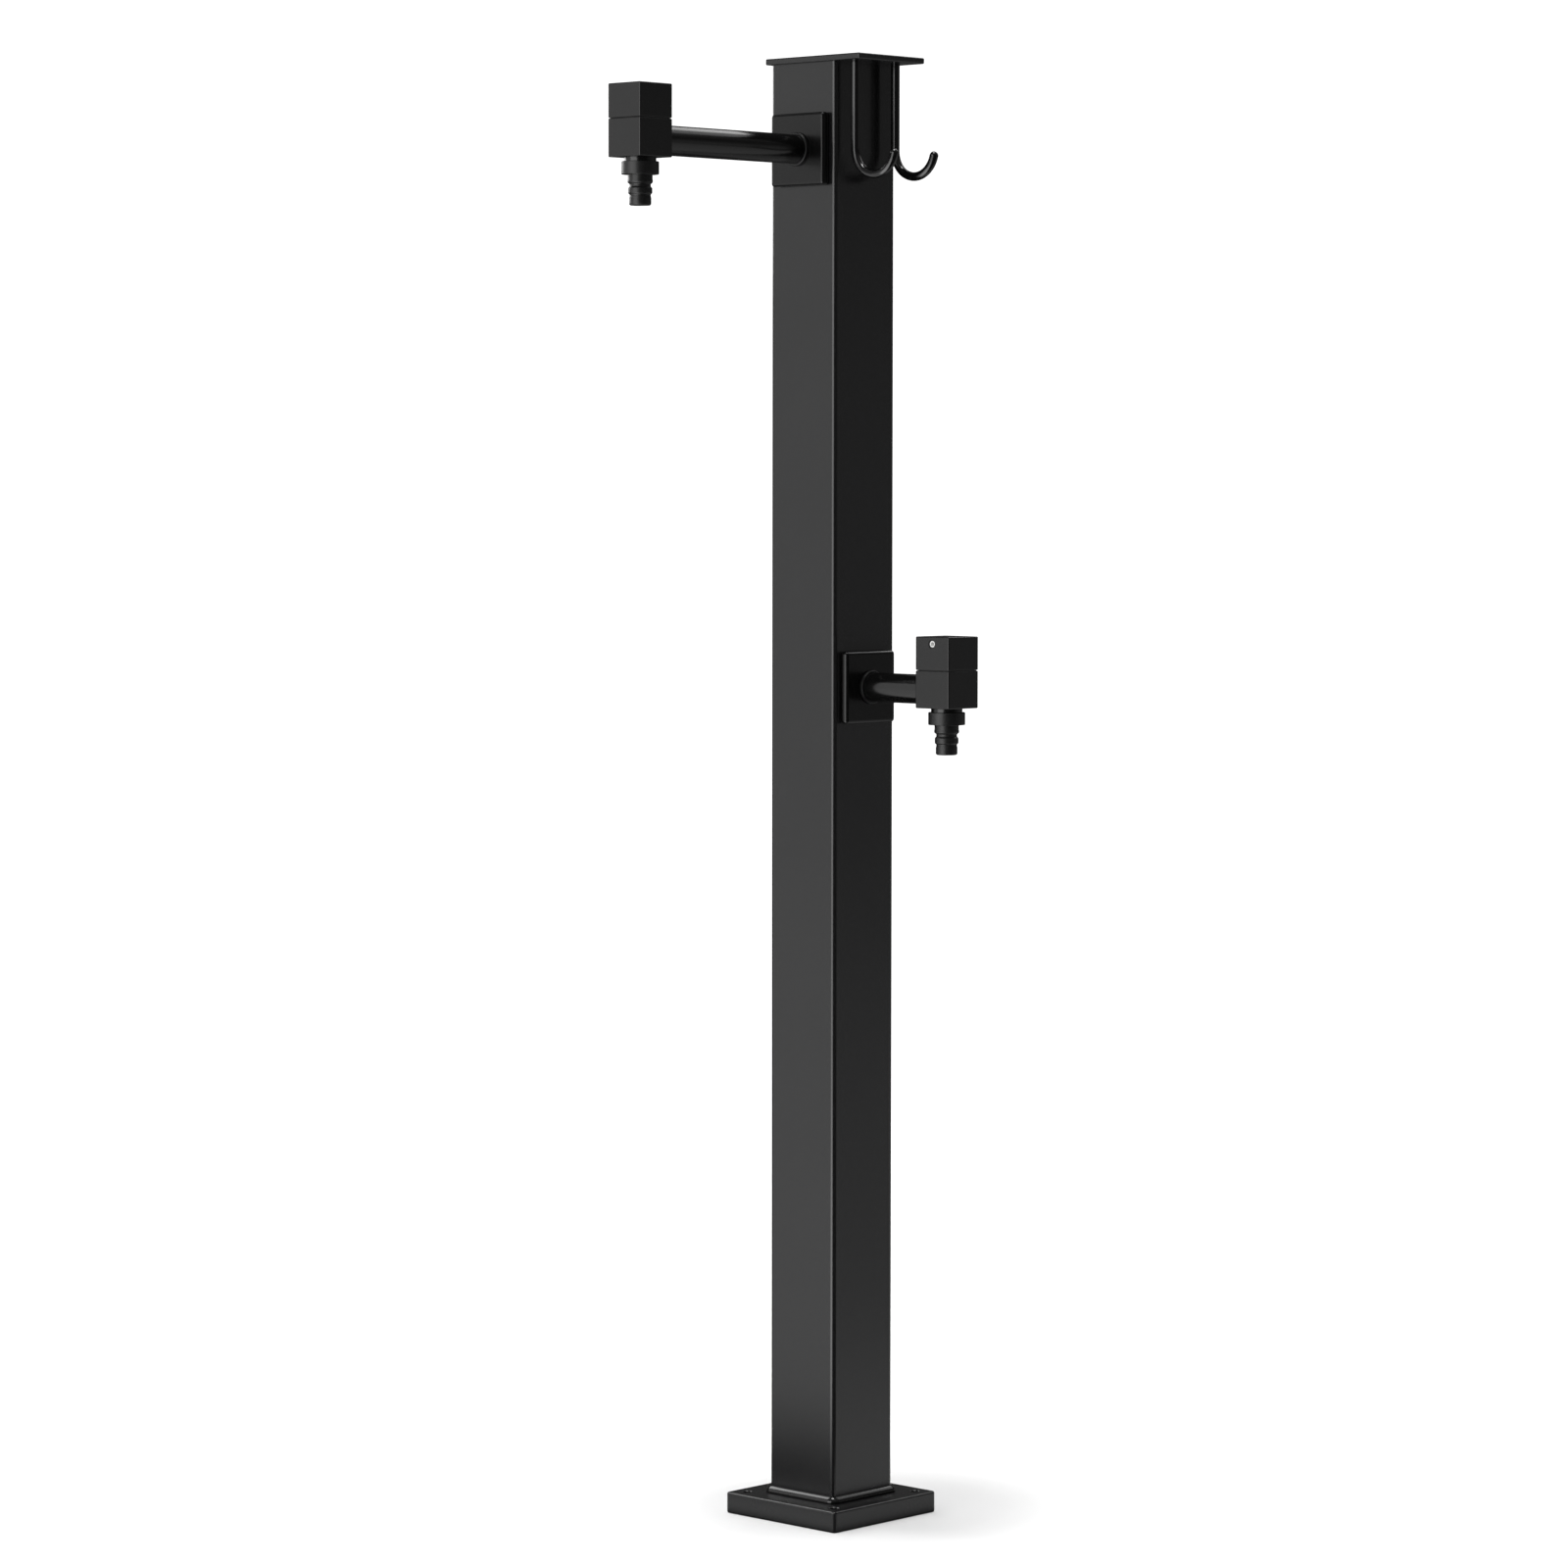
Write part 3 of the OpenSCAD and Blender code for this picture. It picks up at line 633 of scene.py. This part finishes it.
for node in ("column_foot_screws", "cap_side_screws"):
    head_r, screw_z, screw_places = back_screws(node)
    pair = []
    for screw_x in screw_places:
        screw = button_screw(node + "_screw", head_r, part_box(node)[0].y - column_high.y)
        pair.append(moved(screw, (screw_x, column_high.y, screw_z), (-quarter, 0, 0)))
    only(pair[0])
    pair[1].select_set(True)
    bpy.ops.object.join()
    screws = pair[0]
    screws.name = screws.data.name = node + "_pair"
    polished(screws)
    wear(screws, screw_coat)
    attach(screws, "standpipe")
    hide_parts(node)


# Cap plate
# A flat steel plate with eased edges that closes the tube. It stands out a little on three sides
# and 24 mm over the hooks, with a blind seat on its underside for each hook's rod.
cap_round = 0.001
hook_seat_r = 0.00305
hook_seat_depth = 0.0026
hook_rod_r = 0.003

low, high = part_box("cap_plate")
cap = block("cap_plate_steel", low, high)
eased(cap, cap_round)
for node in ("left_hose_hook", "right_hose_hook"):
    hook_low, hook_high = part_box(node)
    seat = pin("hook_seat", hook_seat_r, low.z - past, low.z + hook_seat_depth, small_facets)
    cut(cap, moved(seat, (hook_low.x + hook_rod_r, (hook_low.y + hook_high.y) / 2, 0)))
polished(cap)
wear(cap, tube_coat)
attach(cap, "standpipe")
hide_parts("cap_plate")


# Hose hooks
# Two lengths of 6 mm round steel rod, bent into a J that opens away from the column, brazed into
# the cap plate and dipped in a glossier black enamel. Their tips are rounded off.
hook_enamel = black_coat(
    "hook_enamel_black", (0.0025, 0.0025, 0.0027), roughness=0.15, peel_depth=0.000006, peel_scale=400.0
)
hook_bend_r = 0.018
hook_sweep = math.radians(165)
bend_steps = 44
tip_sweep = math.radians(88)
tip_steps = 8

for node in ("left_hose_hook", "right_hose_hook"):
    low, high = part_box(node)
    rod_x, rod_y = low.x + hook_rod_r, (low.y + high.y) / 2
    bend_z = low.z + hook_rod_r + hook_bend_r
    bend_centre = Vector((rod_x + hook_bend_r, rod_y, bend_z))
    hook = disc(node + "_rod", hook_rod_r, (rod_x, rod_y, high.z), small_facets)
    settle(hook)
    bpy.ops.object.mode_set(mode="EDIT")
    bpy.ops.mesh.select_all(action="SELECT")
    bpy.ops.mesh.extrude_region_move(TRANSFORM_OT_translate={"value": (0, 0, bend_z - high.z)})
    bpy.ops.mesh.spin(steps=bend_steps, angle=hook_sweep, center=bend_centre, axis=(0, 1, 0))
    outwards = Vector((math.sin(hook_sweep), 0, -math.cos(hook_sweep)))
    tip = Vector((-math.cos(hook_sweep), 0, -math.sin(hook_sweep))) * hook_bend_r
    tip += bend_centre
    for step in range(1, tip_steps + 1):
        before, after = [tip_sweep * k / tip_steps for k in (step - 1, step)]
        rise = hook_rod_r * (math.sin(after) - math.sin(before))
        shrink = math.cos(after) / math.cos(before)
        tip += outwards * rise
        bpy.ops.mesh.extrude_region_move(TRANSFORM_OT_translate={"value": outwards * rise})
        bpy.ops.transform.resize(value=(shrink,) * 3, center_override=tip)
    bpy.ops.mesh.select_all(action="SELECT")
    bpy.ops.mesh.normals_make_consistent(inside=False)
    bpy.ops.object.mode_set(mode="OBJECT")
    polished(hook)
    wear(hook, hook_enamel)
    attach(hook, "standpipe")
    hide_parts(node)


# Cover plates and rings
# Where each arm leaves the column a square cast cover, 49 mm wide and 6.4 mm thick, hides the hole
# in the tube. Its edges are softly rounded and its back is hollowed for a rubber gasket. A thin
# turned ring closes the gap between the cover and the arm.
tap_tone = (0.002, 0.002, 0.002)
cover_black = black_coat(
    "cover_satin_black", tap_tone, roughness=0.22, peel_depth=0.000004, peel_scale=900.0, shine=0.30
)
ring_black = black_coat(
    "ring_black", tap_tone, roughness=0.42, peel_depth=0.000004, peel_scale=900.0, shine=0.30
)
cover_edge_r = 0.0024
cover_hole_r = 0.01015
recess_w = 0.0433
recess_depth = 0.001
ring_hole_r = 0.01005
ring_edge_r = 0.0008


def along_arm(tap, part):
    """Where a piece starts and ends along the tap's arm, counted from the column's axis."""
    low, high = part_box(f"{tap}_{part}")
    return (low.x, high.x) if tap == "side" else (-high.y, -low.y)


def fitted(piece, tap, part, body="standpipe"):
    """Finishes a piece of a tap that stands for the node of the same name."""
    polished(piece)
    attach(piece, body)
    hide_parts(f"{tap}_{part}")


for tap in ("front", "side"):
    low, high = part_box(tap + "_cover")
    half = (high.z - low.z) / 2
    start, end = along_arm(tap, "cover")
    cover = block(tap + "_cover_plate", (-half, -half, start), (half, half, end))
    eased(cover, cover_edge_r, segments=6)
    cut(cover, pin("cover_hole", cover_hole_r, start - past, end + past))
    inside = recess_w / 2
    cut(cover, block("recess", (-inside, -inside, start - past), (inside, inside, start + recess_depth)))
    moved(cover, (0, 0, arm_height[tap]), arm_turn[tap])
    wear(cover, cover_black)
    fitted(cover, tap, "cover")

    low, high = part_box(tap + "_ring")
    ring_r = (high.z - low.z) / 2
    start, end = along_arm(tap, "ring")
    edge = bend_points(ring_r - ring_edge_r, end - ring_edge_r, ring_edge_r, 0, 90, count=6)
    profile = [(ring_hole_r, start), (ring_r, start)] + edge + [(ring_hole_r, end), (ring_hole_r, start)]
    ring = turned(tap + "_arm_ring", profile, ring=True)
    moved(ring, (0, 0, arm_height[tap]), arm_turn[tap])
    wear(ring, ring_black)
    fitted(ring, tap, "ring")


# Arms
# Each tap stands on a straight 20 mm pipe, 3 mm thick, that runs from the fitting inside the
# column to the tap's body. It has the same satin black finish as the tap, polished a little more.
arm_gloss = black_coat(
    "arm_satin_black", (0.0025, 0.0025, 0.0025), roughness=0.17, peel_depth=0.000003, peel_scale=900.0
)
arm_wall = 0.003
arm_end_chamfer = 0.0004
arm_facets = 128

for tap in ("front", "side"):
    low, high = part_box(tap + "_arm")
    arm_r = (high.z - low.z) / 2
    bore_r = arm_r - arm_wall
    start, end = along_arm(tap, "arm")
    arm = turned(tap + "_arm_pipe", [
        (bore_r, start), (arm_r - arm_end_chamfer, start), (arm_r, start + arm_end_chamfer),
        (arm_r, end - arm_end_chamfer), (arm_r - arm_end_chamfer, end), (bore_r, end), (bore_r, start),
    ], arm_facets, ring=True)
    moved(arm, (0, 0, arm_height[tap]), arm_turn[tap])
    wear(arm, arm_gloss)
    fitted(arm, tap, "arm")


# Tap bodies
# A 30 mm square block of brass, machined flat and coated satin black. It is bored from above for
# the headwork, from the side for the arm and from below for the water. A low rim on top keeps
# grit out of the joint, and a round neck below takes the outlet adapter.
satin_black = black_coat(
    "tap_satin_black", tap_tone, roughness=0.22, peel_depth=0.000004, peel_scale=900.0, shine=0.46
)
tap_round = 0.0008
joint_round = 0.0006
rim_inset = 0.0010
rim_h = 0.0003
neck_r = 0.0106
neck_len = 0.0027
neck_root = 0.0005
spout_r = 0.0104
waterway_r = 0.005
headwork_bore_r = 0.00905
headwork_seat = -0.005
inlet_r = 0.01005
inlet_depth = 0.005


def tap_axis(tap):
    """The tap's axis at its arm's height, and the turn from the side tap's way to its own."""
    low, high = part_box(tap + "_knob")
    middle = (low + high) / 2
    turn = 0 if tap == "side" else -quarter
    return Vector((middle.x, middle.y, arm_height[tap])), (0, 0, turn)


def square_part(tap, part):
    """Half the width of the tap, and the part's lowest and highest point above the arm's axis."""
    knob_low, knob_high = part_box(tap + "_knob")
    low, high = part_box(f"{tap}_{part}")
    return (knob_high.x - knob_low.x) / 2, low.z - arm_height[tap], high.z - arm_height[tap]


for tap in ("front", "side"):
    place, turn = tap_axis(tap)
    half, spout_end, top = square_part(tap, "tap_body")
    collar_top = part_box(tap + "_outlet_adapter")[1].z - place.z
    bottom = collar_top + neck_len
    body = block(tap + "_tap_block", (-half, -half, bottom), (half, half, top))
    round_edges(body, [upright, level_at(bottom)], tap_round, segments=5)
    round_edges(body, [level_at(top)], joint_round, segments=3)
    neck = turned("neck", [
        (spout_r, spout_end), (spout_r, collar_top), (neck_r, collar_top), (neck_r, bottom + neck_root),
    ])
    cut(body, neck, "UNION")
    rim_half = half - rim_inset
    rim = block("rim", (-rim_half, -rim_half, top - past), (rim_half, rim_half, top + rim_h))
    cut(body, rim, "UNION")
    cut(body, pin("headwork_bore", headwork_bore_r, headwork_seat, top + rim_h + past))
    cut(body, pin("waterway", waterway_r, spout_end - past, headwork_seat + past))
    inlet = turned("inlet", [
        (inlet_r, -half - past), (inlet_r, -half + inlet_depth),
        (waterway_r, -half + inlet_depth), (waterway_r, -headwork_bore_r + past),
    ], bore_facets)
    cut(body, moved(inlet, (0, 0, 0), (0, quarter, 0)))
    moved(body, place, turn)
    wear(body, satin_black)
    fitted(body, tap, "tap_body")


# Handles
# The upper part of each tap is a hollow block of the same 30 mm square that turns a quarter of a
# turn with the spindle, with a thin gap between it and the body. A small screw in one side holds it.
cavity_r = 0.0123
cavity_top = 0.02185
spindle_bore_r = 0.00405
spindle_bore_top = 0.0334
grub_z = 0.03125
grub_bore_r = 0.0025
grub_ring_r = 0.0031
grub_ring_depth = 0.0005

for tap in ("front", "side"):
    place, turn = tap_axis(tap)
    half, bottom, top = square_part(tap, "knob")
    handle = block(tap + "_handle_block", (-half, -half, bottom), (half, half, top))
    round_edges(handle, [upright, level_at(top)], tap_round, segments=5)
    round_edges(handle, [level_at(bottom)], joint_round, segments=3)
    cut(handle, pin("cavity", cavity_r, bottom - past, cavity_top))
    cut(handle, pin("spindle_bore", spindle_bore_r, cavity_top - past, spindle_bore_top))
    grub_hole = turned("grub_hole", [
        (grub_bore_r, 0), (grub_bore_r, half - grub_ring_depth),
        (grub_ring_r, half - grub_ring_depth), (grub_ring_r, half + past),
    ], bore_facets)
    cut(handle, moved(grub_hole, (0, 0, grub_z), (quarter, 0, 0)))
    moved(handle, place, turn)
    wear(handle, satin_black)
    fitted(handle, tap, "knob", tap + "_handle")


# Handle screws
# A bright stainless set screw with a hexagon socket, turned in until its face lies just under the
# handle's side. Its end is chamfered and faintly marked by the key.
screw_sink = 0.0003
screw_chamfer = 0.0003
screw_r = 0.00245
screw_start = 0.00405
screw_socket_flats = 0.0025
screw_socket_r = corner_r(screw_socket_flats)
screw_socket_end_r = screw_socket_flats / 4
screw_socket_depth = 0.0025
socket_cone = 0.0006
metal_bloom_scale = 90.0
bloom_share, marks_share = 0.7, 0.3
bloom_dullness, marks_dullness = 0.15, 0.12


def bright_metal(name, colour, roughness, lines, line_depth, cloud=0.25):
    """Bare metal: fine lines left by the tool, along or round the piece, and a faint dull bloom."""
    finish, surface, place = new_finish(name, {"Metallic": 1.0})
    marks = place.stretched(*lines).noise(1.0, detail=3.0, roughness=0.6)
    bloom = place.noise(metal_bloom_scale, detail=3.0, roughness=0.6)
    darker = tuple(channel * (1 - cloud) for channel in colour) + (1,)
    shade = bloom * bloom_share + marks * marks_share
    shade.mix(darker, tuple(colour) + (1,)).to(surface, "Base Color")
    dullness = roughness + (bloom - noise_mean) * bloom_dullness + (marks - noise_mean) * marks_dullness
    dullness.to(surface, "Roughness")
    place.node("ShaderNodeBump", {}, {"Height": marks, "Distance": line_depth}).to(surface, "Normal")
    return finish


stainless = bright_metal(
    "screw_stainless", (0.82, 0.82, 0.81), roughness=0.22,
    lines=(900.0, 900.0, 900.0), line_depth=0.000003, cloud=0.15,
)

for tap in ("front", "side"):
    place, turn = tap_axis(tap)
    face = square_part(tap, "knob")[0] - screw_sink
    screw = turned(tap + "_handle_screw", [
        (screw_r - screw_chamfer, screw_start), (screw_r, screw_start + screw_chamfer),
        (screw_r, face - screw_chamfer), (screw_r - screw_chamfer, face),
    ], small_facets)
    socket = turned("socket", [
        (screw_socket_end_r, face - screw_socket_depth),
        (screw_socket_r, face - screw_socket_depth + socket_cone),
        (screw_socket_r, face + past),
    ], socket_sides)
    cut(screw, socket)
    moved(screw, (0, 0, grub_z), (quarter, 0, 0))
    moved(screw, place, turn)
    wear(screw, stainless)
    fitted(screw, tap, "knob_screw", tap + "_handle")


# Outlet adapters
# A collar that screws onto the tap's neck and a hose nipple under it, moulded in one piece of hard
# black plastic with a slightly grainy skin. The nipple's ridges are rounded, so the hose slips on.
nipple_black = black_coat(
    "nipple_black", (0.006, 0.006, 0.006), roughness=0.38, peel_depth=0.00002,
    peel_scale=1300.0, grit=0.5, shine=0.36,
)
collar_h = 0.0085
collar_floor = 0.0014
adapter_bore_r = 0.01045
nipple_bore_r = 0.0045
ridge_round = 0.0004
adapter_facets = 128
groove_r = 0.0070
nipple_steps = [
    (0.0082, 0), (0.0082, 0.0030), (0.0084, 0.0039), (0.0084, 0.0052),
    (groove_r, 0.0063), (groove_r, 0.0080), (0.0080, 0.0088), (0.0080, 0.0123),
    (groove_r, 0.0131), (groove_r, 0.0143), (0.0073, 0.0152),
]
tip_r = 0.0073
tip_chamfer = 0.0008

for tap in ("front", "side"):
    place, turn = tap_axis(tap)
    low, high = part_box(tap + "_outlet_adapter")
    end, top = low.z - place.z, high.z - place.z
    collar_r = (high.x - low.x) / 2
    collar_bottom = top - collar_h
    floor_z = collar_bottom + collar_floor
    profile = [(nipple_bore_r, end), (tip_r - tip_chamfer, end), (tip_r, end + tip_chamfer)]
    profile += [(radius, collar_bottom - depth) for radius, depth in reversed(nipple_steps)]
    profile += [(collar_r, collar_bottom), (collar_r, top), (adapter_bore_r, top)]
    profile += [(adapter_bore_r, floor_z), (nipple_bore_r, floor_z), (nipple_bore_r, end)]
    adapter = turned(tap + "_hose_nipple", profile, adapter_facets, ring=True)
    eased(adapter, ridge_round, segments=3)
    moved(adapter, place, turn)
    wear(adapter, nipple_black)
    fitted(adapter, tap, "outlet_adapter")


# Pieces inside the column and the taps
# The castings, nuts, pipes, discs and seals that the outside hides, or shows only from below. They
# keep the shapes that they have in the model, and each gets its metal, rubber or ceramic.
brass = bright_metal(
    "turned_brass", (0.60, 0.42, 0.17), roughness=0.30, lines=(60.0, 60.0, 2600.0), line_depth=0.000006
)
copper = bright_metal(
    "drawn_copper", (0.62, 0.29, 0.17), roughness=0.32,
    lines=(1400.0, 1400.0, 8.0), line_depth=0.000005, cloud=0.4,
)
milled_aluminium = bright_metal(
    "milled_aluminium", (0.56, 0.57, 0.58), roughness=0.36, lines=(500.0, 30.0, 500.0), line_depth=0.000008
)
zinc_steel = bright_metal(
    "zinc_steel", (0.50, 0.51, 0.52), roughness=0.38,
    lines=(300.0, 300.0, 300.0), line_depth=0.000006, cloud=0.35,
)
stuff_cloud_scale = 70.0
stuff_cloud_share, grain_share = 0.6, 0.4
grain_dullness = 0.2


def plain_stuff(name, colour, roughness, grain_scale, grain_depth, cloud):
    """Rubber or ceramic: an even body colour with a fine grain and faint clouds."""
    finish, surface, place = new_finish(name, {})
    grain = place.noise(grain_scale, detail=3.0, roughness=0.6)
    clouds = place.noise(stuff_cloud_scale)
    darker = tuple(channel * (1 - cloud) for channel in colour) + (1,)
    shade = clouds * stuff_cloud_share + grain * grain_share
    shade.mix(darker, tuple(colour) + (1,)).to(surface, "Base Color")
    (roughness + (grain - noise_mean) * grain_dullness).to(surface, "Roughness")
    place.node("ShaderNodeBump", {}, {"Height": grain, "Distance": grain_depth}).to(surface, "Normal")
    return finish


rubber = plain_stuff(
    "seal_rubber", (0.018, 0.018, 0.018), roughness=0.62, grain_scale=1500.0, grain_depth=0.00002, cloud=0.4
)
ceramic = plain_stuff(
    "polished_ceramic", (0.78, 0.76, 0.70), roughness=0.16,
    grain_scale=2200.0, grain_depth=0.000002, cloud=0.05,
)
inner_finish = {
    "foot_block": milled_aluminium, "cap_insert": milled_aluminium,
    "foot_block_screws": zinc_steel, "cap_insert_screws": zinc_steel,
    "inlet_coupling": brass, "inlet_nut": brass, "side_tee": brass, "front_elbow": brass,
    "lower_riser": copper, "upper_riser": copper,
}
for tap in ("front", "side"):
    inner_finish.update({
        tap + "_washer": zinc_steel, tap + "_locknut": brass, tap + "_gasket": rubber,
        tap + "_headwork": brass, tap + "_spindle": brass, tap + "_seat_seal": rubber,
        tap + "_spindle_seal": rubber, tap + "_outlet_washer": rubber,
        tap + "_fixed_disc": ceramic, tap + "_moving_disc": ceramic,
    })
for node, finish in inner_finish.items():
    wear(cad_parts[node], finish)
